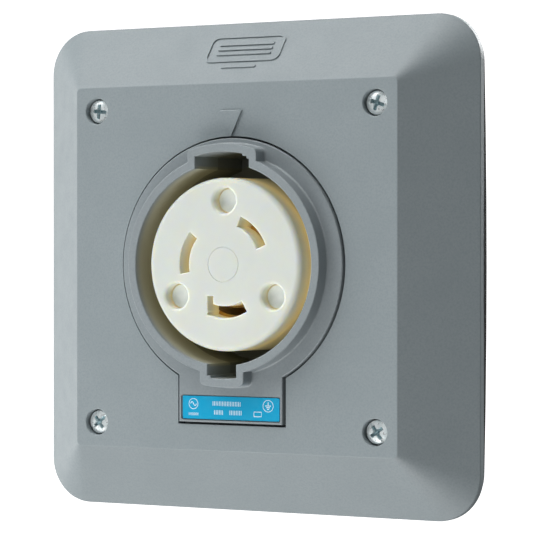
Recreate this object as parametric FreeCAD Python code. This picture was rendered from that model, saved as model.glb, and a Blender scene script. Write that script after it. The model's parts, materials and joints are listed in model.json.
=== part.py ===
import FreeCAD, Part
import math
import os

# Twist-locking power receptacle with a shroud collar, on a bevelled cover plate.
# Axes: +X right, +Z up, the front faces -Y.  The origin is the centre of the four
# cover screws on the wall plane.  A "height" below is a distance in front of that
# plane, so height h lies at y = -h, and negative heights are inside the box.

V = FreeCAD.Vector

# ---- driving dimensions, in millimetres ------------------------------------
PLATE_SIDE = 129.6
PLATE_CORNER_R = 12.0
FACE_SIDE = 96.0
FACE_CORNER_R = 1.3
GASKET_T = 1.5
RIM_T = 2.0
PLATE_DEPTH = 15.6
PLATE_WALL = 3.0
EDGE_R = 0.5
FINE_EDGE_R = 0.25
RIM_WIDTH = 5.3

SCREW_SPACING = 83.34
SCREW_R = 1.75
SCREW_NECK_R = 1.4
SCREW_HEAD_R = 3.0
SCREW_HEAD_T = 2.1
SCREW_CROWN = 0.5
SCREW_LENGTH = 25.4
COUNTERBORE_R = 3.45
COUNTERBORE_DEPTH = 3.55
BOSS_R = 5.0
BOSS_LENGTH = 6.1
RETAINER_R = 4.0
RETAINER_T = 0.8
CAPTIVE_TRAVEL = 4.763

CENTRE_Z = 0.7
DISC_R = 32.85
CUTOUT_R = 33.4
TAB_HALF = 15.45
TAB_BOTTOM = -40.6
CUTOUT_HALF = 16.15
CUTOUT_BOTTOM = -41.25
DISC_PROUD = 0.7
LEDGE_OVERLAP = 3.2
LEDGE_T = 3.0
SEAL_T = 0.8

COLLAR_OUT_R = 28.5
COLLAR_IN_R = 26.2
COLLAR_PROUD = 5.2
COLLAR_FILLET = 0.5
TOP_KEY_HALF = 8.05
TOP_KEY_R = 29.2
BOTTOM_KEY_HALF = 4.3
BOTTOM_KEY_R = 29.6
KEY_WALL = 2.2
KEY_CORNER_R = 1.4
CUP_DEPTH = 24.8
CUP_FLOOR_T = 3.5
CUP_FLANGE_HALF = 36.0
CUP_FLANGE_BOTTOM = -45.0
CUP_FLANGE_T = 3.0
POST_AT = 29.5
POST_R = 3.5

INSERT_R = 22.5
INSERT_BASE_R = 22.8
INSERT_BELOW_RIM = 1.1
INSERT_EDGE_R = 1.3
INSERT_SKIN = 6.0
SLOT_IN_R = 10.5
SLOT_OUT_R = 13.3
GROUND_IN_R = 10.8
GROUND_OUT_R = 13.9
POCKET_IN_R = 9.2
POCKET_OUT_R = 14.5
TWIST = 18.0

RIVET_CIRCLE_R = 16.6
RIVET_R = 2.0
RIVET_HEAD_R = 2.95
RIVET_RECESS_R = 3.35
RIVET_RECESS_DEPTH = 3.6
RIVET_MOUTH_R = 0.7
RIVET_ANGLES = (90, 210, 330)

BODY_R = 24.5
BODY_T = 16.0
CAP_T = 2.2
LEAF_T = 0.8
BLADE_GAP = 2.0
LUG_IN_R = 12.0
LUG_T = 2.0
LUG_WIDTH = 7.0
CLAMP_T = 1.6
CLAMP_WIDTH = 9.6
CLAMP_HEIGHT = 7.4
WIRE_GAP = 3.0
TERMINAL_SCREW_R = 2.08
TERMINAL_HEAD_R = 3.8
TERMINAL_HEAD_T = 2.4
TERMINAL_SCREW_LENGTH = 9.0
WIRE_HOLE_R = 1.8
WIRE_HOLE_OFFSET = 3.3
RUNNING_GAP = 0.05

# ---- heights that follow from them -----------------------------------------
PLATE_BACK = GASKET_T
RIM_FRONT = PLATE_BACK + RIM_T
FACE = PLATE_BACK + PLATE_DEPTH
PLATE_INSIDE = FACE - PLATE_WALL
BOSS_END = PLATE_INSIDE - BOSS_LENGTH
RETAINER_BACK = BOSS_END - CAPTIVE_TRAVEL - 0.2 - RETAINER_T
HEAD_SEAT = FACE - COUNTERBORE_DEPTH
DISC_FRONT = FACE + DISC_PROUD
COLLAR_FRONT = FACE + COLLAR_PROUD
LEDGE_FRONT = PLATE_INSIDE - SEAL_T
LEDGE_BACK = LEDGE_FRONT - LEDGE_T
CUP_FLANGE_BACK = LEDGE_BACK - CUP_FLANGE_T
CUP_FLOOR = COLLAR_FRONT - CUP_DEPTH
CUP_BACK = CUP_FLOOR - CUP_FLOOR_T
INSERT_FACE = COLLAR_FRONT - INSERT_BELOW_RIM
SKIN_BACK = INSERT_FACE - INSERT_SKIN
BODY_BACK = CUP_BACK - BODY_T
CAP_BACK = BODY_BACK - CAP_T
TERMINAL_AT = CUP_BACK - 8.5
SCREW_AT = SCREW_SPACING / 2.0

# Each terminal: name, slot start and end angle, terminal angle, in degrees
# anticlockwise from +X as seen from the front.
TERMINALS = (
    ("line_x", 22.5, 68.0, 45.0),
    ("line_y", 140.0, 191.0, 165.0),
    ("ground", 249.0, 299.5, 270.0),
)

# Each cover screw: name, sides of the pattern, turn of its slot in degrees.
COVER_SCREWS = (
    ("top_left", -1, 1, -6.0),
    ("top_right", 1, 1, -18.0),
    ("bottom_right", 1, -1, -55.0),
    ("bottom_left", -1, -1, 38.0),
)


# ---- helpers ---------------------------------------------------------------
def cylinder(radius, low, high, x=0.0, z=0.0):
    """A cylinder square to the wall between two heights."""
    return Part.makeCylinder(radius, high - low, V(x, -high, z), V(0, 1, 0))


def cone(low_radius, high_radius, low, high, x=0.0, z=0.0):
    """A cone square to the wall, with its radius at each height."""
    return Part.makeCone(high_radius, low_radius, high - low, V(x, -high, z), V(0, 1, 0))


def block(x0, x1, z0, z1, low, high):
    """A box between two heights."""
    return Part.makeBox(x1 - x0, high - low, z1 - z0, V(x0, -high, z0))


def rounded_wire(x0, x1, z0, z1, radius, height):
    """A rectangle with round corners, lying at one height."""
    corners = ((x1, z1, 0), (x0, z1, 90), (x0, z0, 180), (x1, z0, 270))
    points = []
    for x, z, start in corners:
        cx = x - math.copysign(radius, x - (x0 + x1) / 2)
        cz = z - math.copysign(radius, z - (z0 + z1) / 2)
        for turn in (0, 45, 90):
            angle = math.radians(start + turn)
            points.append(V(cx + radius * math.cos(angle), -height, cz + radius * math.sin(angle)))
    edges = []
    for i in range(0, 12, 3):
        edges.append(Part.Arc(points[i], points[i + 1], points[i + 2]).toShape())
        edges.append(Part.makeLine(points[i + 2], points[(i + 3) % 12]))
    return Part.Wire(edges)


def rounded_block(x0, x1, z0, z1, radius, low, high):
    """A box with round corners between two heights."""
    face = Part.Face(rounded_wire(x0, x1, z0, z1, radius, low))
    return face.extrude(V(0, low - high, 0))


def square_loft(low_side, low_r, low, high_side, high_r, high):
    """A straight-sided blend between two rounded squares about the origin."""
    a = low_side / 2
    b = high_side / 2
    wires = [rounded_wire(-a, a, -a, a, low_r, low), rounded_wire(-b, b, -b, b, high_r, high)]
    return Part.makeLoft(wires, True, True)


def edges_at(shape, height, low_reach=0.0, high_reach=1000.0):
    """The edges that lie at one height and whose farthest reach is between two limits."""
    found = []
    for edge in shape.Edges:
        box = edge.BoundBox
        reach = max(abs(box.XMin), abs(box.XMax), abs(box.ZMin), abs(box.ZMax))
        flat = abs(box.YMin + height) < 1e-3 and abs(box.YMax + height) < 1e-3
        if flat and low_reach < reach < high_reach:
            found.append(edge)
    return found


def polar(radius, angle, height):
    """A point about the receptacle's centre line."""
    turn = math.radians(angle)
    return V(radius * math.cos(turn), -height, CENTRE_Z + radius * math.sin(turn))


def sector(r0, r1, a0, a1, low, high):
    """Part of a thick ring about the receptacle's centre line."""
    mid = (a0 + a1) / 2
    edges = [
        Part.Arc(polar(r1, a0, low), polar(r1, mid, low), polar(r1, a1, low)).toShape(),
        Part.makeLine(polar(r1, a1, low), polar(r0, a1, low)),
        Part.Arc(polar(r0, a1, low), polar(r0, mid, low), polar(r0, a0, low)).toShape(),
        Part.makeLine(polar(r0, a0, low), polar(r1, a0, low)),
    ]
    return Part.Face(Part.Wire(edges)).extrude(V(0, low - high, 0))


def about_centre(shape, angle):
    """Turn a shape that was made along +X so that it points along the given angle."""
    turned = shape.copy()
    turned.rotate(V(0, 0, CENTRE_Z), V(0, -1, 0), angle)
    return turned


def radial_block(r0, r1, half_width, low, high, angle):
    """A box along a radius, half_width to each side of it."""
    box = block(r0, r1, CENTRE_Z - half_width, CENTRE_Z + half_width, low, high)
    return about_centre(box, angle)


def radial_cylinder(radius, r0, r1, height, angle):
    """A cylinder whose axis is a radius of the receptacle."""
    rod = Part.makeCylinder(radius, r1 - r0, V(r0, -height, CENTRE_Z), V(1, 0, 0))
    return about_centre(rod, angle)


def keyhole(radius, half_width, bottom, low, high):
    """A disc with a square tab below it."""
    disc = cylinder(radius, low, high, 0, CENTRE_Z)
    tab = block(-half_width, half_width, bottom, CENTRE_Z, low, high)
    return disc.fuse(tab).removeSplitter()


def key_bulge(half_width, radius, corner, up, low, high):
    """A key shape that stands out of the collar, above or below its centre."""
    reach = cylinder(radius, low, high, 0, CENTRE_Z)
    if up:
        strip = block(-half_width, half_width, CENTRE_Z, CENTRE_Z + radius + 1, low, high)
    else:
        strip = block(-half_width, half_width, CENTRE_Z - radius - 1, CENTRE_Z, low, high)
    shape = reach.common(strip)
    if corner > 0:
        outer = [e for e in shape.Edges if is_outer_corner(e, half_width, radius)]
        shape = shape.makeFillet(corner, outer)
    return shape


def is_outer_corner(edge, half_width, radius):
    """True for the two outer edges of a key shape that run square to the wall."""
    start, end = edge.Vertexes[0].Point, edge.Vertexes[-1].Point
    along_y = abs(start.x - end.x) < 1e-6 and abs(start.z - end.z) < 1e-6
    at_side = abs(abs(start.x) - half_width) < 1e-6
    far_out = abs(start.z - CENTRE_Z) > 0.8 * radius
    return along_y and at_side and far_out


def collar_outside(low, high):
    """The outer form of the collar, with its two key bulges."""
    tube = cylinder(COLLAR_OUT_R, low, high, 0, CENTRE_Z)
    top_r = TOP_KEY_R + KEY_WALL
    bottom_r = BOTTOM_KEY_R + KEY_WALL
    top = key_bulge(TOP_KEY_HALF + KEY_WALL, top_r, KEY_CORNER_R, True, low, high)
    bottom = key_bulge(BOTTOM_KEY_HALF + KEY_WALL, bottom_r, KEY_CORNER_R, False, low, high)
    return tube.fuse([top, bottom]).removeSplitter()


def collar_inside(low, high):
    """The bore of the collar, with its two keyways and their small coding ribs."""
    top_rib = block(TOP_KEY_HALF - 1.9, TOP_KEY_HALF, CENTRE_Z + 28.0, CENTRE_Z + 30, low, high)
    top_step = block(TOP_KEY_HALF - 0.7, TOP_KEY_HALF, CENTRE_Z + 27.3, CENTRE_Z + 30, low, high)
    low_rib = block(-BOTTOM_KEY_HALF, 1.0 - BOTTOM_KEY_HALF, CENTRE_Z - 30, CENTRE_Z - 28.8, low, high)
    top = key_bulge(TOP_KEY_HALF, TOP_KEY_R, 0, True, low, high).cut(top_rib).cut(top_step)
    bottom = key_bulge(BOTTOM_KEY_HALF, BOTTOM_KEY_R, 0, False, low, high).cut(low_rib)
    tube = cylinder(COLLAR_IN_R, low, high, 0, CENTRE_Z)
    return tube.fuse([top, bottom]).removeSplitter()


def drive_recess(top, head_radius, depth):
    """A cross recess with a straight slot across the head, about the origin's axis."""
    arm = 0.66 * head_radius
    half = 0.17 * head_radius
    cross = block(-arm, arm, -half, half, top - depth, top + 1)
    cross = cross.fuse(block(-half, half, -arm, arm, top - depth, top + 1))
    cross = cross.fuse(cone(0.1, 0.36 * head_radius, top - depth - 0.4, top + 0.2))
    slot_half = 0.12 * head_radius
    slot = block(-head_radius, head_radius, -slot_half, slot_half, top - 0.45 * depth, top + 1)
    return cross.fuse(slot)


def domed_head(radius, thickness, crown, seat):
    """A round head whose top is a shallow dome, standing on a seat height."""
    edge = seat + thickness
    dome_r = (radius * radius + crown * crown) / (2 * crown)
    ball = Part.makeSphere(dome_r, V(0, -(edge + crown - dome_r), 0))
    return cylinder(radius, seat, edge + crown).common(ball)


def rivet_places():
    """The three rivet axes."""
    return [polar(RIVET_CIRCLE_R, angle, 0) for angle in RIVET_ANGLES]


def rivet_holes(radius, low, high):
    """Three holes for the rivets between two heights."""
    return [cylinder(radius, low, high, p.x, p.z) for p in rivet_places()]


# ---- cover plate -----------------------------------------------------------
def badge():
    """A plain raised frame with blank bars on the upper bevel."""
    run = (PLATE_SIDE - FACE_SIDE) / 2
    rise = FACE - RIM_FRONT
    slope = math.degrees(math.atan2(rise, run))
    relief = 0.35
    sink = 0.6
    frame = rounded_block(-11.2, 11.2, -3.9, 5.3, 2.2, -sink, relief)
    frame = frame.cut(rounded_block(-10.6, 10.6, -3.3, 4.7, 1.7, -2 * sink, 2 * relief))
    bars = [frame]
    for half, z in ((8.2, 2.4), (8.2, 0.7), (8.2, -1.0), (5.2, -5.6)):
        bars.append(rounded_block(-half, half, z - 0.45, z + 0.45, 0.35, -sink, relief))
    group = Part.makeCompound(bars)
    group.rotate(V(0, 0, 0), V(1, 0, 0), -slope)
    middle_z = PLATE_SIDE / 2 - 0.48 * run
    group.translate(V(0, -(RIM_FRONT + 0.48 * rise), middle_z))
    return group.Solids


def pointer():
    """The raised triangle that points down at the receptacle."""
    tip = V(0.1, -FACE, CENTRE_Z + CUTOUT_R)
    corners = [V(-3.1, -FACE, 40.9), V(3.3, -FACE, 40.9), tip]
    face = Part.Face(Part.makePolygon(corners + [corners[0]]))
    solid = face.extrude(V(0, -0.5, 0))
    top = [e for e in edges_at(solid, FACE + 0.5) if e.BoundBox.ZMin > 40]
    return solid.makeFillet(0.3, top)


def cover_plate():
    base = rounded_block(
        -PLATE_SIDE / 2, PLATE_SIDE / 2, -PLATE_SIDE / 2, PLATE_SIDE / 2,
        PLATE_CORNER_R, PLATE_BACK, RIM_FRONT)
    cap = square_loft(PLATE_SIDE, PLATE_CORNER_R, RIM_FRONT, FACE_SIDE, FACE_CORNER_R, FACE)
    outside = base.fuse(cap)

    hollow_side = PLATE_SIDE - 2 * RIM_WIDTH
    slope = (PLATE_SIDE - FACE_SIDE) / (FACE - RIM_FRONT)
    inner_side = hollow_side - slope * (PLATE_INSIDE - RIM_FRONT)
    mouth = rounded_block(
        -hollow_side / 2, hollow_side / 2, -hollow_side / 2, hollow_side / 2,
        PLATE_CORNER_R - 3, PLATE_BACK - 1, RIM_FRONT)
    hollow = mouth.fuse(square_loft(
        hollow_side, PLATE_CORNER_R - 3, RIM_FRONT, inner_side, 2.0, PLATE_INSIDE))
    plate = outside.cut(hollow)

    solids = badge() + [pointer()]
    for side_x in (-1, 1):
        for side_z in (-1, 1):
            x = side_x * SCREW_AT
            z = side_z * SCREW_AT
            solids.append(cylinder(BOSS_R, BOSS_END, PLATE_INSIDE + 1, x, z))
            solids += boss_ribs(x, z, hollow)
            post = cylinder(POST_R, LEDGE_BACK, PLATE_INSIDE + 1, side_x * POST_AT, side_z * POST_AT)
            solids.append(post)
    plate = plate.fuse(solids)

    cuts = [keyhole(CUTOUT_R, CUTOUT_HALF, CUTOUT_BOTTOM, PLATE_INSIDE - 1, FACE + 2)]
    for side_x in (-1, 1):
        for side_z in (-1, 1):
            x = side_x * SCREW_AT
            z = side_z * SCREW_AT
            cuts.append(cylinder(COUNTERBORE_R, HEAD_SEAT, FACE + 1, x, z))
            cuts.append(cylinder(SCREW_R + 0.3, BOSS_END - 1, FACE, x, z))
            cuts.append(cylinder(1.72, LEDGE_BACK - 1, FACE - 1.5, side_x * POST_AT, side_z * POST_AT))
    plate = plate.cut(cuts)
    plate = plate.makeFillet(EDGE_R, edges_at(plate, FACE, low_reach=FACE_SIDE / 2 - 0.1))
    plate = plate.makeFillet(EDGE_R, edges_at(plate, RIM_FRONT, low_reach=PLATE_SIDE / 2 - 0.1))
    bores = edges_at(plate, FACE, low_reach=SCREW_AT + 0.5 * COUNTERBORE_R, high_reach=FACE_SIDE / 2 - 1)
    return plate.makeFillet(FINE_EDGE_R, bores)


def boss_ribs(x, z, hollow):
    """Two thin ribs from a screw boss out to the side walls."""
    reach_x = math.copysign(PLATE_SIDE / 2, x)
    reach_z = math.copysign(PLATE_SIDE / 2, z)
    low = BOSS_END + 1.5
    along_x = block(min(x, reach_x), max(x, reach_x), z - 0.8, z + 0.8, low, PLATE_INSIDE + 0.5)
    along_z = block(x - 0.8, x + 0.8, min(z, reach_z), max(z, reach_z), low, PLATE_INSIDE + 0.5)
    grown = hollow.fuse(cylinder(BOSS_R, low, PLATE_INSIDE + 0.5, x, z))
    return [along_x.common(grown), along_z.common(grown)]


def cover_gasket():
    """A foam frame whose long sides bow out a little past the rim."""
    half = PLATE_SIDE / 2 - 0.5
    bow = 0.6
    corner = PLATE_CORNER_R
    straight = half - corner
    edges = []
    for quarter in range(4):
        start = math.radians(90 * quarter)
        out = V(math.cos(start), 0, math.sin(start))
        along = V(-math.sin(start), 0, math.cos(start))
        low_end = out * half - along * straight
        high_end = out * half + along * straight
        middle = out * (half + bow)
        edges.append(Part.Arc(low_end, middle, high_end).toShape())
        corner_centre = out * straight + along * straight
        diagonal = (out + along).normalize()
        corner_mid = corner_centre + diagonal * corner
        corner_end = corner_centre + along * corner
        edges.append(Part.Arc(high_end, corner_mid, corner_end).toShape())
    outline = Part.Face(Part.Wire(edges)).extrude(V(0, -GASKET_T, 0))
    inner = PLATE_SIDE / 2 - RIM_WIDTH + 0.3
    hole = rounded_block(-inner, inner, -inner, inner, PLATE_CORNER_R - 3, -1, GASKET_T + 1)
    return outline.cut(hole)


def cover_screw(x, z, turn):
    """A captive screw: its thread starts behind the retainer, and the neck above is thinner."""
    head = domed_head(SCREW_HEAD_R, SCREW_HEAD_T, SCREW_CROWN, HEAD_SEAT)
    top = HEAD_SEAT + SCREW_HEAD_T + SCREW_CROWN
    head = head.cut(drive_recess(top, SCREW_HEAD_R, 1.5))
    tip = HEAD_SEAT - SCREW_LENGTH
    neck = cylinder(SCREW_NECK_R, tip + 1, HEAD_SEAT)
    thread = cylinder(SCREW_R, tip + 0.8, RETAINER_BACK - RUNNING_GAP)
    screw = head.fuse([neck, thread, cone(1.2, SCREW_R, tip, tip + 0.8)]).removeSplitter()
    screw.rotate(V(0, 0, 0), V(0, -1, 0), turn)
    screw.translate(V(x, 0, z))
    return screw


def screw_retainer(x, z):
    """A washer on the screw's neck, above its thread, that keeps it in the plate."""
    high = RETAINER_BACK + RETAINER_T
    ring = cylinder(RETAINER_R, RETAINER_BACK, high, x, z)
    return ring.cut(cylinder(SCREW_NECK_R + RUNNING_GAP, RETAINER_BACK - 1, high + 1, x, z))


# ---- shroud, seal, cup -----------------------------------------------------
def shroud_flange():
    front = keyhole(DISC_R, TAB_HALF, TAB_BOTTOM, LEDGE_FRONT - 0.5, DISC_FRONT)
    ledge = keyhole(
        CUTOUT_R + LEDGE_OVERLAP, CUTOUT_HALF + 3.0, CUTOUT_BOTTOM - 3.2, LEDGE_BACK, LEDGE_FRONT)
    body = front.fuse([ledge, collar_outside(LEDGE_BACK, COLLAR_FRONT)]).removeSplitter()
    root = [e for e in body.Edges if is_collar_root(e)]
    body = body.makeFillet(COLLAR_FILLET, root)
    body = body.makeFillet(FINE_EDGE_R, edges_at(body, DISC_FRONT, low_reach=DISC_R - 0.2))
    pocket = rounded_block(-14.85, 14.85, -40.05, -33.5, 0.5, DISC_FRONT - 0.6, DISC_FRONT + 1)
    body = body.cut([collar_inside(LEDGE_BACK - 1, COLLAR_FRONT + 1), pocket])
    return body.makeFillet(FINE_EDGE_R, edges_at(body, COLLAR_FRONT))


def is_collar_root(edge):
    """True for the edges where the collar meets the face of the disc."""
    box = edge.BoundBox
    on_face = abs(box.YMin + DISC_FRONT) < 1e-4 and abs(box.YMax + DISC_FRONT) < 1e-4
    reach = max(math.hypot(v.X, v.Z - CENTRE_Z) for v in edge.Vertexes)
    inside = reach < DISC_R - 0.3
    return on_face and inside


def flange_seal():
    outer = keyhole(
        CUTOUT_R + LEDGE_OVERLAP - 0.2, CUTOUT_HALF + 2.8, CUTOUT_BOTTOM - 3.0, LEDGE_FRONT, PLATE_INSIDE)
    inner = keyhole(
        CUTOUT_R + 0.3, CUTOUT_HALF + 0.3, CUTOUT_BOTTOM - 0.3, LEDGE_FRONT - 1, PLATE_INSIDE + 1)
    return outer.cut(inner)


def receptacle_cup():
    flange = rounded_block(
        -CUP_FLANGE_HALF, CUP_FLANGE_HALF, CUP_FLANGE_BOTTOM, CUP_FLANGE_HALF,
        7.0, CUP_FLANGE_BACK, LEDGE_BACK)
    body = flange.fuse(collar_outside(CUP_BACK, LEDGE_BACK)).removeSplitter()
    cuts = [collar_inside(CUP_FLOOR, LEDGE_BACK + 1)]
    cuts += rivet_holes(RIVET_R + 0.1, CUP_BACK - 1, CUP_FLOOR + 1)
    for side_x in (-1, 1):
        for side_z in (-1, 1):
            x = side_x * POST_AT
            z = side_z * POST_AT
            cuts.append(cylinder(1.9, CUP_FLANGE_BACK - 1, LEDGE_BACK + 1, x, z))
    for name, start, end, angle in TERMINALS:
        cuts.append(tail_slot(angle, CUP_BACK - 1, CUP_FLOOR + 1))
    return body.cut(cuts)


def tail_slot(angle, low, high):
    """The slot that a contact's tail passes through."""
    return radial_block(
        LUG_IN_R - 0.2, LUG_IN_R + LUG_T + 0.2, LUG_WIDTH / 2 + 0.3, low, high, angle)


def flange_screw(x, z):
    """A pan-head screw driven from behind into a post of the plate."""
    low = CUP_FLANGE_BACK
    head = cylinder(3.4, low - 2.0, low)
    rim = [e for e in head.Edges if abs(e.BoundBox.YMin - (2.0 - low)) < 1e-4]
    head = head.makeFillet(0.8, rim)
    recess = block(-1.7, 1.7, -0.45, 0.45, low - 3, low - 0.7)
    recess = recess.fuse(block(-0.45, 0.45, -1.7, 1.7, low - 3, low - 0.7))
    shank = cylinder(1.7, low, FACE - 2.6)
    screw = head.cut(recess).fuse(shank).removeSplitter()
    screw.translate(V(x, 0, z))
    return screw


def label_plate():
    """The plain blue rating plate in the tab's pocket."""
    floor = DISC_FRONT - 0.6
    return rounded_block(-14.5, 14.5, -39.8, -33.75, 0.4, floor, floor + 0.35)


# ---- receptacle ------------------------------------------------------------
def slot_radii(name):
    """The inner and outer radius of one terminal's blade slot."""
    if name == "ground":
        return GROUND_IN_R, GROUND_OUT_R
    return SLOT_IN_R, SLOT_OUT_R


def contact_slot(name, start, end):
    """One blade slot through the face; the ground slot has a hook to the centre."""
    inner, outer = slot_radii(name)
    low = SKIN_BACK - 0.5
    high = INSERT_FACE + 1
    slot = sector(inner, outer, start, end, low, high)
    if name == "ground":
        slot = slot.fuse(block(-4.85, -3.2, CENTRE_Z - 12.0, CENTRE_Z - 8.2, low, high))
    return slot


def insert_face():
    """The white front disc with the three blade slots."""
    body = cone(insert_radius(SKIN_BACK), INSERT_R, SKIN_BACK, INSERT_FACE, 0, CENTRE_Z)
    rim = [e for e in body.Edges if abs(e.BoundBox.YMax + INSERT_FACE) < 1e-4]
    body = body.makeFillet(INSERT_EDGE_R, rim)
    cuts = []
    for name, start, end, angle in TERMINALS:
        cuts.append(contact_slot(name, start, end))
    cuts += rivet_holes(RIVET_R + 0.1, SKIN_BACK - 1, INSERT_FACE + 1)
    cuts += rivet_holes(RIVET_RECESS_R, INSERT_FACE - RIVET_RECESS_DEPTH, INSERT_FACE + 1)
    shallow = INSERT_FACE - 0.12
    cuts.append(sector(4.3, 4.7, 0, 180, shallow, INSERT_FACE + 1))
    cuts.append(sector(4.3, 4.7, 180, 360, shallow, INSERT_FACE + 1))
    body = body.cut(cuts)
    mouths = edges_at(body, INSERT_FACE, high_reach=INSERT_R - 1.5)
    body = body.makeFillet(FINE_EDGE_R, [e for e in mouths if is_slot_mouth(e)])
    recesses = [e for e in edges_at(body, INSERT_FACE) if is_recess_mouth(e)]
    return body.makeFillet(RIVET_MOUTH_R, recesses)


def is_recess_mouth(edge):
    """True for the round mouth of a rivet recess."""
    return edge.Curve.TypeId == "Part::GeomCircle" and abs(edge.Curve.Radius - RIVET_RECESS_R) < 1e-3


def is_slot_mouth(edge):
    """True for a slot's mouth, save the left slot's short ends, which stay sharp."""
    in_ring = all(math.hypot(v.X, v.Z - CENTRE_Z) < 5 for v in edge.Vertexes)
    left_end = edge.Curve.TypeId == "Part::GeomLine" and edge.BoundBox.XMax < -7
    return not in_ring and not left_end and not is_recess_mouth(edge)


def insert_radius(height):
    """The insert's outer radius at a height; it is a little wider at its foot."""
    share = (height - CUP_FLOOR) / (INSERT_FACE - CUP_FLOOR)
    return INSERT_BASE_R + share * (INSERT_R - INSERT_BASE_R)


def contact_carrier():
    """The rear of the insert, with a pocket for each spring contact."""
    body = cone(INSERT_BASE_R, insert_radius(SKIN_BACK), CUP_FLOOR, SKIN_BACK, 0, CENTRE_Z)
    cuts = rivet_holes(RIVET_R + 0.1, CUP_FLOOR - 1, SKIN_BACK + 1)
    for name, start, end, angle in TERMINALS:
        low = min(start - TWIST, angle - 27)
        cuts.append(sector(POCKET_IN_R, POCKET_OUT_R, low, end + 3, CUP_FLOOR - 1, SKIN_BACK + 1))
    step = cylinder(INSERT_BASE_R + 1, CUP_FLOOR - 1, CUP_FLOOR + SEAL_T, 0, CENTRE_Z)
    cuts.append(step.cut(cylinder(19.1, CUP_FLOOR - 2, CUP_FLOOR + 2, 0, CENTRE_Z)))
    return body.cut(cuts)


def insert_seal():
    ring = cylinder(22.4, CUP_FLOOR, CUP_FLOOR + SEAL_T, 0, CENTRE_Z)
    return ring.cut(cylinder(19.2, CUP_FLOOR - 1, CUP_FLOOR + 2, 0, CENTRE_Z))


def spring_contact(name, start, end, angle):
    """Two curved leaves that grip a blade, their bridge, and a tail to the terminal."""
    middle_r = sum(slot_radii(name)) / 2
    inner = middle_r - BLADE_GAP / 2
    outer = middle_r + BLADE_GAP / 2
    low = start - TWIST + 4
    foot = CUP_FLOOR + 2.5
    top = SKIN_BACK - 1.5
    leaves = [
        sector(inner - LEAF_T, inner, low, end, foot, top),
        sector(outer, outer + LEAF_T, low, end, foot, top),
    ]
    bridge = sector(inner - LEAF_T, outer + LEAF_T, low, end, foot - 1.2, foot)
    tail = radial_block(
        LUG_IN_R, LUG_IN_R + LUG_T, LUG_WIDTH / 2, TERMINAL_AT - 4.2, foot - 0.2, angle)
    hole = radial_cylinder(TERMINAL_SCREW_R + RUNNING_GAP, LUG_IN_R - 1, LUG_IN_R + LUG_T + 1,
                           TERMINAL_AT, angle)
    return bridge.fuse(leaves + [tail]).removeSplitter().cut(hole)


def terminal_body():
    body = cylinder(BODY_R, BODY_BACK, CUP_BACK, 0, CENTRE_Z)
    cuts = rivet_holes(RIVET_R + 0.1, BODY_BACK - 1, CUP_BACK + 1)
    half = CLAMP_WIDTH / 2 + 0.4
    for name, start, end, angle in TERMINALS:
        cuts.append(tail_slot(angle, BODY_BACK, CUP_BACK + 1))
        cuts.append(radial_block(
            LUG_IN_R - 0.2, BODY_R + 2, half, BODY_BACK - 1, TERMINAL_AT + 4.4, angle))
        cuts.append(radial_cylinder(
            TERMINAL_SCREW_R + 0.4, LUG_IN_R - 5.4, LUG_IN_R, TERMINAL_AT, angle))
        cuts.append(radial_cylinder(
            TERMINAL_HEAD_R + 0.8, BODY_R - 6.5, BODY_R + 2, TERMINAL_AT, angle))
    return body.cut(cuts)


def rear_cap():
    cap = cylinder(BODY_R, CAP_BACK, BODY_BACK, 0, CENTRE_Z)
    cuts = rivet_holes(RIVET_R + 0.1, CAP_BACK - 1, BODY_BACK + 1)
    cuts.append(cylinder(7.0, CAP_BACK - 1, CAP_BACK + 0.7, 0, CENTRE_Z))
    wire_r = LUG_IN_R + LUG_T + WIRE_GAP / 2 + 0.3
    for name, start, end, angle in TERMINALS:
        for side in (-1, 1):
            hole = cylinder(WIRE_HOLE_R, CAP_BACK - 1, BODY_BACK + 1, wire_r,
                            CENTRE_Z + side * WIRE_HOLE_OFFSET)
            funnel = cone(WIRE_HOLE_R + 0.8, WIRE_HOLE_R, CAP_BACK, CAP_BACK + 0.8, wire_r,
                          CENTRE_Z + side * WIRE_HOLE_OFFSET)
            cuts.append(about_centre(hole, angle))
            cuts.append(about_centre(funnel, angle))
    return cap.cut(cuts)


def clamp_plate(angle):
    """The pressure plate that grips the wires against the contact's tail."""
    r0 = LUG_IN_R + LUG_T + WIRE_GAP
    plate = radial_block(r0, r0 + CLAMP_T, CLAMP_WIDTH / 2, TERMINAL_AT - CLAMP_HEIGHT / 2,
                         TERMINAL_AT + CLAMP_HEIGHT / 2, angle)
    for side in (-1, 1):
        groove = cylinder(1.3, TERMINAL_AT - 5, TERMINAL_AT + 5, r0 - 0.9,
                          CENTRE_Z + side * WIRE_HOLE_OFFSET)
        plate = plate.cut(about_centre(groove, angle))
    return plate.cut(radial_cylinder(
        TERMINAL_SCREW_R + RUNNING_GAP, r0 - 1, r0 + CLAMP_T + 1, TERMINAL_AT, angle))


def terminal_screw(angle, turn):
    """The clamp screw, with its head outermost on a radius of the receptacle."""
    seat = LUG_IN_R + LUG_T + WIRE_GAP + CLAMP_T
    head = domed_head(TERMINAL_HEAD_R, TERMINAL_HEAD_T - 0.6, 0.6, seat)
    head = head.cut(drive_recess(seat + TERMINAL_HEAD_T, TERMINAL_HEAD_R, 1.5))
    shank = cylinder(TERMINAL_SCREW_R, seat - TERMINAL_SCREW_LENGTH, seat)
    screw = head.fuse(shank).removeSplitter()
    screw.rotate(V(0, 0, 0), V(0, -1, 0), turn)
    screw.rotate(V(0, 0, 0), V(0, 0, 1), 90)
    screw.translate(V(0, -TERMINAL_AT, CENTRE_Z))
    return about_centre(screw, angle)


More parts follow.
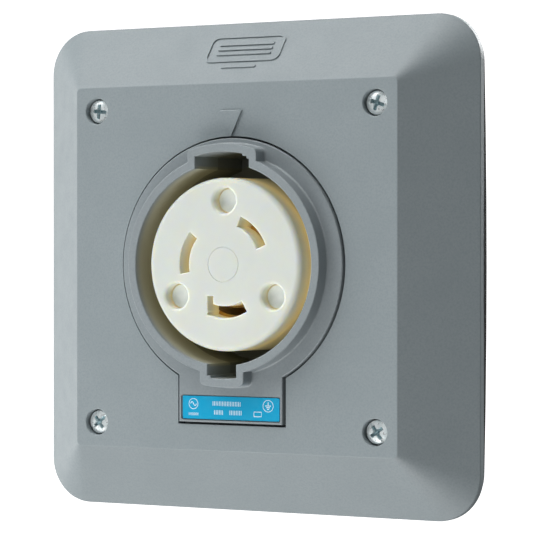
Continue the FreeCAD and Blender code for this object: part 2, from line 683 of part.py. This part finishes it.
def assembly_rivet(place):
    """A tubular rivet that clamps the insert, cup, terminal body and rear cap."""
    seat = INSERT_FACE - RIVET_RECESS_DEPTH
    head = domed_head(RIVET_HEAD_R, 0.6, 0.2, seat)
    shank = cylinder(RIVET_R, CAP_BACK, seat)
    roll = cone(RIVET_R, 2.8, CAP_BACK - 0.9, CAP_BACK)
    bore = cylinder(1.2, CAP_BACK - 1.5, CAP_BACK + 4)
    rivet = head.fuse([shank, roll]).removeSplitter().cut(bore)
    rivet.translate(V(place.x, 0, place.z))
    return rivet


# ---- assembly --------------------------------------------------------------
def build():
    nodes = {
        "cover_plate": cover_plate(),
        "cover_gasket": cover_gasket(),
        "shroud_flange": shroud_flange(),
        "flange_seal": flange_seal(),
        "receptacle_cup": receptacle_cup(),
        "label_plate": label_plate(),
        "insert_face": insert_face(),
        "contact_carrier": contact_carrier(),
        "insert_seal": insert_seal(),
        "terminal_body": terminal_body(),
        "rear_cap": rear_cap(),
    }
    for name, side_x, side_z, turn in COVER_SCREWS:
        x = side_x * SCREW_AT
        z = side_z * SCREW_AT
        nodes["cover_screw_" + name] = cover_screw(x, z, turn)
        nodes["screw_retainer_" + name] = screw_retainer(x, z)
        nodes["flange_screw_" + name] = flange_screw(side_x * POST_AT, side_z * POST_AT)
    for index, place in enumerate(rivet_places()):
        nodes["assembly_rivet_" + str(index + 1)] = assembly_rivet(place)
    for index, (name, start, end, angle) in enumerate(TERMINALS):
        nodes["contact_" + name] = spring_contact(name, start, end, angle)
        nodes["clamp_plate_" + name] = clamp_plate(angle)
        nodes["terminal_screw_" + name] = terminal_screw(angle, 25.0 + 40.0 * index)
    return nodes


os.makedirs("parts", exist_ok=True)
for node, shape in build().items():
    print(node, len(shape.Solids), round(shape.Volume, 1), shape.isValid())
    shape.exportStep("parts/" + node + ".step")
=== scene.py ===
import json
import math

import bmesh
import bpy
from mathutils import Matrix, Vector


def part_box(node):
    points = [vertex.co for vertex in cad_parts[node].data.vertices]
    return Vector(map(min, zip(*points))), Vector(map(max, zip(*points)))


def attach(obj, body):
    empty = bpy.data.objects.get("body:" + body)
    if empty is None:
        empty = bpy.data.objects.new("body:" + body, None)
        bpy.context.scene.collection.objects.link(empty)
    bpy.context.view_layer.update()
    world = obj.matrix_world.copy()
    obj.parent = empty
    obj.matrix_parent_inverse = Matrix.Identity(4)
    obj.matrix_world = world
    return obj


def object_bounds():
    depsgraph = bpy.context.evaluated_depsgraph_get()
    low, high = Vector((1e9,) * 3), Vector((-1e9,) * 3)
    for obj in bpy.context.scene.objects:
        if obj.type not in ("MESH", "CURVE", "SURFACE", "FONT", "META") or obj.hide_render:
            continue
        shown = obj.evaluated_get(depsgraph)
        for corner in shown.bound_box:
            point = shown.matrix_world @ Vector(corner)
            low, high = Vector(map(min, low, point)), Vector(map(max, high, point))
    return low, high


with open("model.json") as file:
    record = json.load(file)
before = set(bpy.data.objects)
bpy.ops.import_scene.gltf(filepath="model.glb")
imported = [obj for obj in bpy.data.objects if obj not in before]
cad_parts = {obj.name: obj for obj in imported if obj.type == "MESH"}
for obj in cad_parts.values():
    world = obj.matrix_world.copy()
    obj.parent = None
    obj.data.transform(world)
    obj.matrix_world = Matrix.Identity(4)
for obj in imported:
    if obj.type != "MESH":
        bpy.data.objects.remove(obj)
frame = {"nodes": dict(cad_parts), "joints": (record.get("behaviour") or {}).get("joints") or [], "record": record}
cad_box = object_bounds()

# Everything is in metres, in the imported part's frame: the front faces -Y and +Z is up.
MM = 0.001
NODES = frame["nodes"]
JOINTS = {joint["name"]: joint for joint in frame["joints"]}
CORNERS = ("top_left", "top_right", "bottom_right", "bottom_left")
BACK_OUT_TURNS = 6
WELL_REACH = 26.7 * MM
RECESS_SHADE_DEPTH = 2.2 * MM
RING_STEPS = 40
RAISED_STROKE = 0.3 * MM


# ---- material helpers --------------------------------------------------------
def srgb(red, green, blue):
    """A linear colour from the usual 0 to 255 values."""
    def linear(value):
        share = value / 255.0
        return share / 12.92 if share <= 0.04045 else ((share + 0.055) / 1.055) ** 2.4
    return (linear(red), linear(green), linear(blue), 1.0)


class Finish:
    """A node material that is built up from object coordinates, so its scale is in metres."""

    def __init__(self, name, colour, roughness, metallic=0.0, specular=0.5):
        self.material = bpy.data.materials.new(name)
        self.material.use_nodes = True
        self.tree = self.material.node_tree
        self.shader = self.tree.nodes["Principled BSDF"]
        self.shader.inputs["Base Color"].default_value = colour
        self.shader.inputs["Roughness"].default_value = roughness
        self.shader.inputs["Metallic"].default_value = metallic
        self.shader.inputs["Specular IOR Level"].default_value = specular
        self.place = self.node("ShaderNodeTexCoord").outputs["Object"]
        self.colour_out = None
        self.normal_out = None

    def node(self, kind, **settings):
        made = self.tree.nodes.new(kind)
        for key, value in settings.items():
            setattr(made, key, value)
        return made

    def link(self, source, target):
        self.tree.links.new(source, target)

    def stretched(self, stretch):
        """Object coordinates scaled along each axis."""
        mapping = self.node("ShaderNodeMapping")
        mapping.inputs["Scale"].default_value = stretch
        self.link(self.place, mapping.inputs["Vector"])
        return mapping.outputs["Vector"]

    def noise(self, feature, detail=3.0, rough=0.5, stretch=(1, 1, 1)):
        """Noise whose blobs are about one feature size across, in metres."""
        texture = self.node("ShaderNodeTexNoise")
        texture.inputs["Scale"].default_value = 1.0 / feature
        texture.inputs["Detail"].default_value = detail
        texture.inputs["Roughness"].default_value = rough
        self.link(self.stretched(stretch), texture.inputs["Vector"])
        return texture.outputs["Fac"]

    def remap(self, value, low, high, to_low, to_high):
        """A value moved from one range to another, and held inside it."""
        ranged = self.node("ShaderNodeMapRange", clamp=True)
        for key, number in (("From Min", low), ("From Max", high), ("To Min", to_low), ("To Max", to_high)):
            ranged.inputs[key].default_value = number
        self.link(value, ranged.inputs["Value"])
        return ranged.outputs["Result"]

    def tint(self, share, colour):
        """Lays another colour over what is there, by a share from 0 to 1."""
        mix = self.node("ShaderNodeMix", data_type="RGBA")
        first = mix.inputs[6]
        if self.colour_out is None:
            first.default_value = self.shader.inputs["Base Color"].default_value
        else:
            self.link(self.colour_out, first)
        mix.inputs[7].default_value = colour
        self.link(share, mix.inputs[0])
        self.colour_out = mix.outputs[2]
        self.link(self.colour_out, self.shader.inputs["Base Color"])

    def roughen(self, value, low, high):
        """Roughness that wanders between two values."""
        self.link(self.remap(value, 0.3, 0.7, low, high), self.shader.inputs["Roughness"])

    def bump(self, height, depth, strength=1.0):
        """Relief of a depth in metres, on top of any relief so far."""
        bump = self.node("ShaderNodeBump")
        bump.inputs["Strength"].default_value = strength
        bump.inputs["Distance"].default_value = depth
        self.link(height, bump.inputs["Height"])
        if self.normal_out is not None:
            self.link(self.normal_out, bump.inputs["Normal"])
        self.normal_out = bump.outputs["Normal"]
        self.link(self.normal_out, self.shader.inputs["Normal"])

    def depth(self):
        """The place's Y, in metres: it grows from the front towards the wall."""
        split = self.node("ShaderNodeSeparateXYZ")
        self.link(self.place, split.inputs["Vector"])
        return split.outputs["Y"]

    def reach(self, centre):
        """Distance from an axis that runs square to the wall through a point."""
        offset = self.node("ShaderNodeMapping")
        offset.inputs["Location"].default_value = (-centre.x, 0, -centre.z)
        offset.inputs["Scale"].default_value = (1, 0, 1)
        self.link(self.place, offset.inputs["Vector"])
        length = self.node("ShaderNodeVectorMath", operation="LENGTH")
        self.link(offset.outputs["Vector"], length.inputs[0])
        return length.outputs["Value"]

    def both(self, first, second):
        """The product of two shares."""
        product = self.node("ShaderNodeMath", operation="MULTIPLY")
        self.link(first, product.inputs[0])
        self.link(second, product.inputs[1])
        return product.outputs["Value"]


def moulded_plastic(name, colour, shade, roughness, grain, well_light_tint=None):
    """Thermoplastic from an etched mould, with fine grain and faint flow shading. Where a well light tint is
    given, the bore wall below the insert's face gets painted light: a warm cast for light from the nylon insert,
    and painted shade where the tint is darker.
    """
    finish = Finish(name, colour, roughness, specular=0.45)
    finish.tint(finish.remap(finish.noise(14 * MM, 2.0), 0.35, 0.65, 0.0, 0.3), shade)
    finish.tint(finish.remap(finish.noise(0.5 * MM, 2.0), 0.4, 0.7, 0.0, 0.8), shade)
    # Painted light: the bore wall between the insert's face and the contact carrier is tinted warm, lighter on the
    # shroud and darker (painted shade) on the cup.
    if well_light_tint is not None:
        low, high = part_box("insert_face")
        floor_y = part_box("contact_carrier")[1].y
        bore = finish.remap(finish.reach((low + high) / 2), WELL_REACH, WELL_REACH + 0.3 * MM, 1.0, 0.0)
        sunk = finish.remap(finish.depth(), low.y - 0.7 * MM, low.y + 1.5 * MM, 0.0, 1.0)
        inside = finish.remap(finish.depth(), floor_y + 0.2 * MM, floor_y + 1 * MM, 1.0, 0.0)
        finish.tint(finish.both(finish.both(bore, sunk), inside), well_light_tint)
    finish.roughen(finish.noise(5 * MM, 4.0), roughness - 0.05, roughness + 0.07)
    finish.bump(finish.noise(0.55 * MM, 4.0, 0.6), grain)
    finish.bump(finish.noise(7 * MM, 2.0), 0.02 * MM)
    return finish.material


def insert_nylon():
    """Off-white nylon, clean in front. Down its side and in its slots the colour is painted light: a warm amber
    cast for light shining through the nylon, painted shade deeper down, and a faint emission for a painted glow.
    """
    finish = Finish("insert_nylon", srgb(209, 215, 211), 0.45, specular=0.22)
    depth = finish.depth()
    face_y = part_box("insert_face")[0].y

    def below_face(start, end, first, last):
        """A value that changes between two depths below the insert's face, in millimetres."""
        return finish.remap(depth, face_y + start * MM, face_y + end * MM, first, last)

    # Painted light: amber from 1 to 6 mm below the face for light through the nylon, then painted shade, a dark
    # olive, from 7 to 18 mm.
    finish.tint(below_face(1, 6, 0.0, 1.0), srgb(232, 218, 168))
    finish.tint(below_face(7, 18, 0.0, 0.75), srgb(150, 132, 80))
    finish.tint(finish.remap(finish.noise(4 * MM, 3.0), 0.45, 0.75, 0.0, 0.12), srgb(200, 200, 184))
    finish.roughen(finish.noise(2 * MM, 3.0), 0.36, 0.5)
    finish.bump(finish.noise(0.4 * MM, 3.0), 0.006 * MM)
    finish.bump(finish.noise(5 * MM, 2.0), 0.03 * MM)
    # Painted glow: a faint warm emission on the side and slot walls, though the nylon is no lamp.
    painted_glow = finish.both(below_face(0.6, 4, 0.0, 0.15), below_face(6, 24, 1.0, 0.0))
    finish.link(painted_glow, finish.shader.inputs["Emission Strength"])
    finish.shader.inputs["Emission Color"].default_value = srgb(255, 236, 172)
    finish.shader.inputs["Subsurface Weight"].default_value = 1.0
    finish.shader.inputs["Subsurface Radius"].default_value = (1.0, 0.8, 0.42)
    finish.shader.inputs["Subsurface Scale"].default_value = 3.0 * MM
    return finish.material


def plated_steel(name, colour, roughness, cast, metallic, shaded_recess_head=None):
    """Plated steel with cloudy plating. Where a head is named, the drive recess below its face gets a painted
    shade, a darker teal than its face.
    """
    finish = Finish(name, colour, roughness, metallic=metallic)
    finish.tint(finish.remap(finish.noise(1.6 * MM, 3.0), 0.4, 0.7, 0.0, 0.5), cast)
    # Painted shade: a dark teal from 0.75 mm to about 2.6 mm behind the cover screw head's face, in the drive
    # recess.
    if shaded_recess_head is not None:
        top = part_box(shaded_recess_head)[0].y
        sunk = finish.remap(finish.depth(), top + 0.75 * MM, top + 1.6 * MM, 0.0, 0.85)
        shade_end = top + RECESS_SHADE_DEPTH
        above = finish.remap(finish.depth(), shade_end, shade_end + 0.4 * MM, 1.0, 0.0)
        finish.tint(finish.both(sunk, above), srgb(84, 134, 146))
    finish.roughen(finish.noise(0.7 * MM, 4.0), roughness - 0.07, roughness + 0.12)
    finish.bump(finish.noise(0.35 * MM, 4.0, 0.6), 0.006 * MM)
    finish.bump(finish.noise(2.2 * MM, 2.0), 0.03 * MM)
    return finish.material


def rolled_brass(name, colour, tarnish, roughness):
    """Brass strip with rolling lines and patches of tarnish."""
    finish = Finish(name, colour, roughness, metallic=1.0)
    finish.tint(finish.remap(finish.noise(3 * MM, 4.0), 0.45, 0.75, 0.0, 0.7), tarnish)
    finish.roughen(finish.noise(1.5 * MM, 3.0), roughness - 0.06, roughness + 0.14)
    finish.bump(finish.noise(0.25 * MM, 2.0, stretch=(1, 0.08, 1)), 0.005 * MM)
    return finish.material


def closed_foam():
    """Black closed-cell foam with a pitted skin."""
    finish = Finish("closed_foam", srgb(30, 30, 31), 0.86, specular=0.25)
    cells = finish.node("ShaderNodeTexVoronoi", feature="F1")
    cells.inputs["Scale"].default_value = 1.0 / (0.55 * MM)
    finish.link(finish.stretched((1, 1, 1)), cells.inputs["Vector"])
    finish.tint(finish.remap(finish.noise(2.5 * MM, 3.0), 0.4, 0.7, 0.0, 0.6), srgb(46, 46, 48))
    finish.roughen(finish.noise(1.2 * MM, 3.0), 0.78, 0.95)
    finish.bump(cells.outputs["Distance"], 0.12 * MM)
    return finish.material


def thermoset():
    """Black thermoset with fine mineral specks and a dull sheen."""
    finish = Finish("black_thermoset", srgb(38, 38, 41), 0.48, specular=0.5)
    finish.tint(finish.remap(finish.noise(0.35 * MM, 2.0), 0.6, 0.78, 0.0, 0.5), srgb(74, 74, 78))
    finish.tint(finish.remap(finish.noise(9 * MM, 2.0), 0.4, 0.65, 0.0, 0.5), srgb(30, 30, 33))
    finish.roughen(finish.noise(3 * MM, 4.0), 0.4, 0.6)
    finish.bump(finish.noise(0.5 * MM, 4.0), 0.012 * MM)
    return finish.material


def label_foil():
    """Blue printed foil with a faint press texture and a few scuffs."""
    finish = Finish("label_foil", srgb(8, 155, 199), 0.42, specular=0.35)
    finish.tint(finish.remap(finish.noise(6 * MM, 3.0), 0.4, 0.7, 0.0, 0.5), srgb(18, 162, 204))
    finish.tint(finish.remap(finish.noise(0.5 * MM, 2.0, stretch=(0.2, 1, 1)), 0.62, 0.8, 0.0, 0.4),
                srgb(60, 172, 204))
    finish.roughen(finish.noise(1.5 * MM, 4.0), 0.32, 0.5)
    finish.bump(finish.noise(0.5 * MM, 3.0), 0.006 * MM)
    return finish.material


def label_ink():
    """White ink with a slightly uneven coat."""
    finish = Finish("label_ink", srgb(214, 234, 244), 0.5, specular=0.4)
    finish.tint(finish.remap(finish.noise(0.3 * MM, 3.0), 0.5, 0.75, 0.0, 0.5), srgb(150, 206, 235))
    finish.roughen(finish.noise(0.8 * MM, 3.0), 0.42, 0.62)
    finish.bump(finish.noise(0.2 * MM, 2.0), 0.004 * MM)
    return finish.material


def fibre():
    """Red vulcanised fibre with a fibrous grain."""
    finish = Finish("vulcanised_fibre", srgb(128, 62, 42), 0.7, specular=0.3)
    finish.tint(finish.remap(finish.noise(0.6 * MM, 4.0, stretch=(1, 1, 0.2)), 0.4, 0.7, 0.0, 0.7),
                srgb(92, 40, 30))
    finish.roughen(finish.noise(0.8 * MM, 3.0), 0.6, 0.82)
    finish.bump(finish.noise(0.3 * MM, 4.0, stretch=(1, 1, 0.2)), 0.02 * MM)
    return finish.material


def dyed_zinc():
    """Zinc plate dyed green, with lighter patches where the dye is thin."""
    finish = Finish("green_dyed_zinc", srgb(44, 118, 70), 0.34, metallic=0.85)
    finish.tint(finish.remap(finish.noise(1.4 * MM, 4.0), 0.45, 0.72, 0.0, 0.7), srgb(88, 140, 96))
    finish.roughen(finish.noise(0.8 * MM, 4.0), 0.26, 0.46)
    finish.bump(finish.noise(0.35 * MM, 4.0), 0.008 * MM)
    return finish.material


FINISHES = {
    "plate_gray": moulded_plastic("plate_gray", srgb(137, 147, 151), srgb(127, 138, 142), 0.46, 0.012 * MM),
    # The shroud's and cup's well colours are painted light and painted shade, not the plastic's own colour.
    "shroud_gray": moulded_plastic("shroud_gray", srgb(136, 145, 149), srgb(128, 137, 141), 0.42, 0.01 * MM,
                                   well_light_tint=srgb(160, 161, 144)),
    "cup_gray": moulded_plastic("cup_gray", srgb(124, 130, 131), srgb(114, 120, 121), 0.5, 0.01 * MM,
                                well_light_tint=srgb(120, 122, 108)),
    "insert_white": insert_nylon(),
    "label_blue": label_foil(),
    "black_foam": closed_foam(),
    "terminal_black": thermoset(),
    "zinc_steel": plated_steel("zinc_steel", srgb(240, 247, 248), 0.3, srgb(206, 224, 227), 0.6,
                               shaded_recess_head="cover_screw_top_left"),
    "rivet_steel": plated_steel("rivet_steel", srgb(240, 246, 243), 0.5, srgb(226, 235, 236), 0.12),
    "contact_brass": rolled_brass("contact_brass", srgb(206, 170, 104), srgb(150, 116, 66), 0.32),
    "terminal_brass": rolled_brass("terminal_brass", srgb(214, 180, 112), srgb(168, 132, 76), 0.28),
    "ground_green": dyed_zinc(),
    "fibre_washer": fibre(),
}
LABEL_INK = label_ink()


def paint_cad_nodes():
    """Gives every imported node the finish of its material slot."""
    for part in frame["record"]["subparts"]:
        mesh = NODES[part["node"]].data
        mesh.materials.clear()
        mesh.materials.append(FINISHES[part["material_slot"]])


# ---- mesh helpers -------------------------------------------------------------
def add_piece(name, verts, faces, material, smooth=False):
    """A mesh object from its corners and faces, in metres in the part's frame."""
    mesh = bpy.data.meshes.new(name)
    mesh.from_pydata(verts, [], faces)
    mesh.materials.append(material)
    work = bmesh.new()
    work.from_mesh(mesh)
    bmesh.ops.recalc_face_normals(work, faces=work.faces)
    work.to_mesh(mesh)
    work.free()
    for polygon in mesh.polygons:
        polygon.use_smooth = smooth
    piece = bpy.data.objects.new(name, mesh)
    bpy.context.scene.collection.objects.link(piece)
    return piece


class Slab:
    """Flat shapes of one thickness, gathered in one mesh. Front faces look along -Y."""

    def __init__(self, front, back):
        self.front = front
        self.back = back
        self.verts = []
        self.faces = []

    def outline(self, points):
        """A convex outline, given anticlockwise as (x, z)."""
        first = len(self.verts)
        count = len(points)
        self.verts += [(x, self.front, z) for x, z in points]
        self.verts += [(x, self.back, z) for x, z in points]
        self.faces.append(tuple(range(first, first + count)))
        self.faces.append(tuple(range(first + 2 * count - 1, first + count - 1, -1)))
        for i in range(count):
            j = (i + 1) % count
            self.faces.append((first + i, first + count + i, first + count + j, first + j))

    def bar(self, x, z, width, height):
        """A bar with small round ends, about its centre."""
        radius = min(width, height) * 0.3
        points = []
        for side_x, side_z, start in ((1, 1, 0), (-1, 1, 90), (-1, -1, 180), (1, -1, 270)):
            for turn in (0, 30, 60, 90):
                angle = math.radians(start + turn)
                points.append((x + side_x * (width / 2 - radius) + radius * math.cos(angle),
                               z + side_z * (height / 2 - radius) + radius * math.sin(angle)))
        self.outline(points)

    def band(self, line, width):
        """A stroke of even width along a line of (x, z) points."""
        first = len(self.verts)
        for i, (x, z) in enumerate(line):
            before = Vector(line[max(i - 1, 0)])
            after = Vector(line[min(i + 1, len(line) - 1)])
            along = (after - before).normalized()
            side = Vector((-along.y, along.x)) * width / 2
            for y in (self.front, self.back):
                self.verts.append((x + side.x, y, z + side.y))
                self.verts.append((x - side.x, y, z - side.y))
        for i in range(len(line) - 1):
            a = first + 4 * i
            b = a + 4
            self.faces += [(a, a + 1, b + 1, b), (a + 2, b + 2, b + 3, a + 3),
                           (a, b, b + 2, a + 2), (a + 1, a + 3, b + 3, b + 1)]
        last = first + 4 * (len(line) - 1)
        self.faces += [(first, first + 2, first + 3, first + 1), (last, last + 1, last + 3, last + 2)]

    def piece(self, name, material):
        return add_piece(name, self.verts, self.faces, material)


def arc(x, z, radius, start, end, steps):
    """Points on a circle between two angles in degrees."""
    angles = [math.radians(start + (end - start) * i / steps) for i in range(steps + 1)]
    return [(x + radius * math.cos(a), z + radius * math.sin(a)) for a in angles]


# ---- label printing -------------------------------------------------------------
# Places on the label are in millimetres from its middle.
# Each row of ticks: x, z, count, height.
TICK_ROWS = (
    (-1.2, 1.15, 18, 1.2),
    (-3.6, -1.15, 6, 1.2),
    (1.5, -1.15, 8, 1.2),
    (-11.2, -1.75, 11, 0.7),
)
# Each ring: x, z, radius.
LABEL_RINGS = (
    (-11.2, 0.95, 1.35),
    (11.2, 0.9, 1.5),
)


def label_printing():
    """Plain ticks, a sine wave, an empty box and an earth sign on the blue plate. It has no wording."""
    low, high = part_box("label_plate")
    middle = (low + high) / 2
    ink = Slab(low.y - 0.03 * MM, low.y + 0.05 * MM)

    def at(x, z):
        return middle.x + x * MM, middle.z + z * MM

    for x, z, count, tall in TICK_ROWS:
        for i in range(count):
            ink.bar(*at(x + 0.4 * tall * (i - (count - 1) / 2), z), 0.16 * tall * MM, tall * MM)
    for x, z, radius in LABEL_RINGS:
        ink.band(arc(*at(x, z), radius * MM, 0, 360, RING_STEPS), 0.16 * MM)
    steps = 24
    wave = []
    for i in range(steps + 1):
        wave.append(at(-12.1 + 1.8 * i / steps, 0.95 + 0.5 * math.sin(2 * math.pi * i / steps)))
    ink.band(wave, 0.2 * MM)
    ink.band([at(7.0, -1.9), at(9.2, -1.9), at(9.2, -0.7), at(7.0, -0.7), at(7.0, -1.9)], 0.22 * MM)
    ink.bar(*at(11.2, 1.45), 0.24 * MM, 0.9 * MM)
    for z, width in ((0.95, 1.7), (0.5, 1.1), (0.05, 0.5)):
        ink.bar(*at(11.2, z), width * MM, 0.24 * MM)
    piece = ink.piece("label_printing", LABEL_INK)
    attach(piece, "root")


# ---- moulding marks ----------------------------------------------------------------
def rings(name, front, back, places, slot):
    """Thin raised rings, such as ejector pins leave on the hidden side of a moulding.

    Each place is x, z and radius, in millimetres.
    """
    slab = Slab(front, back)
    for x, z, radius in places:
        slab.band(arc(x * MM, z * MM, radius * MM, 0, 360, RING_STEPS), RAISED_STROKE)
    piece = slab.piece(name, FINISHES[slot])
    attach(piece, "root")


def moulding_marks():
    """Ejector rings behind the plate and the cup's flange, and wiring signs on the rear cap."""
    plate_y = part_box("flange_seal")[0].y
    pins = [(x, z, 2.2) for x in (41.5, -41.5) for z in (14, -14)] + [(14, 42, 2.2), (-14, 42, 2.2)]
    rings("plate_ejector_rings", plate_y - 0.1 * MM, plate_y + 0.15 * MM, pins, "plate_gray")
    flange_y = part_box("flange_screw_top_left")[1].y - 2.0 * MM
    pins = [(x, z, 1.8) for x in (32.4, -32.4) for z in (9, -9)] + [(12, -40, 1.8), (-12, -40, 1.8)]
    rings("cup_ejector_rings", flange_y - 0.1 * MM, flange_y + 0.15 * MM, pins, "cup_gray")
    low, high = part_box("rear_cap")
    middle = (low + high) / 2
    signs = Slab(high.y - 0.1 * MM, high.y + 0.18 * MM)
    foot = middle.z - 21.4 * MM
    signs.bar(middle.x, foot + 1.9 * MM, 0.35 * MM, 1.5 * MM)
    for rise, width in ((1.1, 3.0), (0.4, 2.0), (-0.3, 1.0)):
        signs.bar(middle.x, foot + rise * MM, width * MM, 0.35 * MM)
    for angle in (45, 165):
        for radius in (20.6, 21.4, 22.2):
            ring = arc(middle.x, middle.z, radius * MM, angle - 4, angle + 4, 8)
            signs.band(ring, RAISED_STROKE)
    piece = signs.piece("rear_cap_signs", FINISHES["terminal_black"])
    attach(piece, "root")


# ---- threads ---------------------------------------------------------------------
THREAD_CORE = 1.7 * MM
THREAD_CREST = 1.98 * MM
THREAD_END_GAP = 1.2 * MM
THREAD_STEPS_A_TURN = 28


def helix_ridge(name, centre, axis, core, crest, start, length, pitch, material):
    """A V thread wound round a shank, from start along the axis. It fades in and out over a turn."""
    axis = Vector(axis).normalized()
    side = axis.orthogonal().normalized()
    other = axis.cross(side)
    steps = int(length / pitch * THREAD_STEPS_A_TURN)
    profile = ((-0.48, core), (-0.06, crest), (0.06, crest), (0.48, core), (0.0, core - 0.3 * MM))
    verts = []
    faces = []
    for i in range(steps + 1):
        angle = 2 * math.pi * i / THREAD_STEPS_A_TURN
        along = start + pitch * i / THREAD_STEPS_A_TURN
        fade = min(1.0, i / THREAD_STEPS_A_TURN, (steps - i) / THREAD_STEPS_A_TURN)
        for offset, radius in profile:
            reach = core + (radius - core) * fade if radius > core else radius
            spot = centre + axis * (along + offset * pitch)
            spot += (side * math.cos(angle) + other * math.sin(angle)) * reach
            verts.append(tuple(spot))
    count = len(profile)
    for i in range(steps):
        for k in range(count):
            n = (k + 1) % count
            faces.append((i * count + k, i * count + n, (i + 1) * count + n, (i + 1) * count + k))
    faces.append(tuple(range(count)))
    faces.append(tuple(range(steps * count + count - 1, steps * count - 1, -1)))
    return add_piece(name, verts, faces, material)


def screw_threads():
    """Threads on the four cover screws behind their retainers."""
    pitch = JOINTS["cover_screw_top_left_back_out"]["range_m"][1] / BACK_OUT_TURNS
    for corner in CORNERS:
        low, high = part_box("cover_screw_" + corner)
        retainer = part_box("screw_retainer_" + corner)[1]
        start = retainer.y + 0.6 * pitch
        centre = Vector(((low.x + high.x) / 2, 0, (low.z + high.z) / 2))
        length = high.y - THREAD_END_GAP - start
        piece = helix_ridge("cover_thread_" + corner, centre, (0, 1, 0), THREAD_CORE, THREAD_CREST,
                            start, length, pitch, FINISHES["zinc_steel"])
        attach(piece, "screw_" + corner)


# ---- camera, lights and floor ----------------------------------------------------
CAMERA_AZIMUTH = 29.23
CAMERA_ELEVATION = 0.28
CAMERA_DISTANCE = 0.6753
CAMERA_TARGET = Vector((0, -1.5 * MM, 0))
CAMERA_LENS = 170.7
WORLD_STRENGTH = 0.14
FLOOR_DROP = 0.6
FLOOR_GLOW = 0.9
BACKDROP_GLOW = 1.2
WARM = (1.0, 0.975, 0.96)
PLAIN = (1.0, 1.0, 1.0)

# Each light: name, azimuth, elevation, distance, width, height, power, colour.
LIGHTS = (
    ("far_left_softbox", -92, 0, 0.9, 0.6, 0.9, 3.3, WARM),
    ("high_left_softbox", -50, 45, 0.9, 0.7, 0.7, 5.1, PLAIN),
    ("top_softbox", -10, 70, 0.9, 0.9, 0.6, 5.3, WARM),
    ("front_fill", 10, 10, 1.4, 0.8, 0.8, 1.2, PLAIN),
    ("low_left_fill", -65, -28, 0.6, 0.5, 0.4, 0.9, PLAIN),
    ("low_fill", -10, -52, 0.6, 0.6, 0.4, 3.3, WARM),
    ("back_fill", 160, 30, 1.4, 1.0, 1.0, 24.0, PLAIN),
)


def direction(azimuth, elevation):
    """From the part towards a viewer. Azimuth 0 is straight in front, 90 is to the right."""
    a = math.radians(azimuth)
    e = math.radians(elevation)
    return Vector((math.sin(a) * math.cos(e), -math.cos(a) * math.cos(e), math.sin(e)))


def add_camera():
    """A long lens from the right, almost level, aimed at the middle of the plate's back."""
    data = bpy.data.cameras.new("camera")
    camera = bpy.data.objects.new("camera", data)
    bpy.context.scene.collection.objects.link(camera)
    back = direction(CAMERA_AZIMUTH, CAMERA_ELEVATION)
    camera.location = CAMERA_TARGET + back * CAMERA_DISTANCE
    camera.rotation_euler = (-back).to_track_quat("-Z", "Y").to_euler()
    data.lens = CAMERA_LENS
    data.shift_x = 0.0137
    data.shift_y = -0.0021
    data.clip_start = 0.02
    data.clip_end = 40.0
    bpy.context.scene.camera = camera


def add_light(name, azimuth, elevation, distance, width, height, power, colour):
    """A soft rectangle of light, aimed at the part's origin."""
    data = bpy.data.lights.new(name, "AREA")
    data.shape = "RECTANGLE"
    data.size = width
    data.size_y = height
    data.energy = power
    data.color = colour
    lamp = bpy.data.objects.new(name, data)
    bpy.context.scene.collection.objects.link(lamp)
    back = direction(azimuth, elevation)
    lamp.location = back * distance
    lamp.rotation_euler = back.to_track_quat("Z", "Y").to_euler()


def add_world(strength):
    """Even white light from all round."""
    world = bpy.data.worlds.new("studio")
    world.use_nodes = True
    back = world.node_tree.nodes["Background"]
    back.inputs["Color"].default_value = (1, 1, 1, 1)
    back.inputs["Strength"].default_value = strength
    bpy.context.scene.world = world


def glowing(name, strength):
    """A pale surface that stays evenly bright."""
    material = bpy.data.materials.new(name)
    material.use_nodes = True
    shader = material.node_tree.nodes["Principled BSDF"]
    shader.inputs["Base Color"].default_value = (0.8, 0.8, 0.8, 1)
    shader.inputs["Roughness"].default_value = 0.9
    shader.inputs["Emission Color"].default_value = (1, 1, 1, 1)
    shader.inputs["Emission Strength"].default_value = strength
    return material


def add_stage(name, verts, faces, strength, smooth=False):
    """A surface that is seen behind the part but sheds no light on it."""
    piece = add_piece(name, verts, faces, glowing(name, strength), smooth)
    piece.visible_diffuse = False
    piece.visible_glossy = False
    piece.visible_shadow = False


def add_studio():
    """A pale floor below the part and a pale room around it."""
    floor_z = cad_box[0].z - FLOOR_DROP
    radius = 5.0
    sides = 96
    levels = 12
    verts = []
    for k in range(levels + 1):
        rise = math.pi / 2 * k / levels
        for i in range(sides):
            turn = 2 * math.pi * i / sides
            verts.append((radius * math.cos(rise) * math.cos(turn), radius * math.cos(rise) * math.sin(turn),
                          floor_z + radius * math.sin(rise)))
    faces = []
    for k in range(levels):
        for i in range(sides):
            n = (i + 1) % sides
            faces.append((k * sides + i, k * sides + n, (k + 1) * sides + n, (k + 1) * sides + i))
    add_stage("studio_floor", verts[:sides], [tuple(range(sides))], FLOOR_GLOW)
    add_stage("studio_backdrop", verts, faces, BACKDROP_GLOW, smooth=True)


# ---- put together ------------------------------------------------------------------
paint_cad_nodes()
label_printing()
moulding_marks()
screw_threads()
add_camera()
for light in LIGHTS:
    add_light(*light)
add_world(WORLD_STRENGTH)
add_studio()
bpy.context.scene.view_settings.view_transform = "Standard"
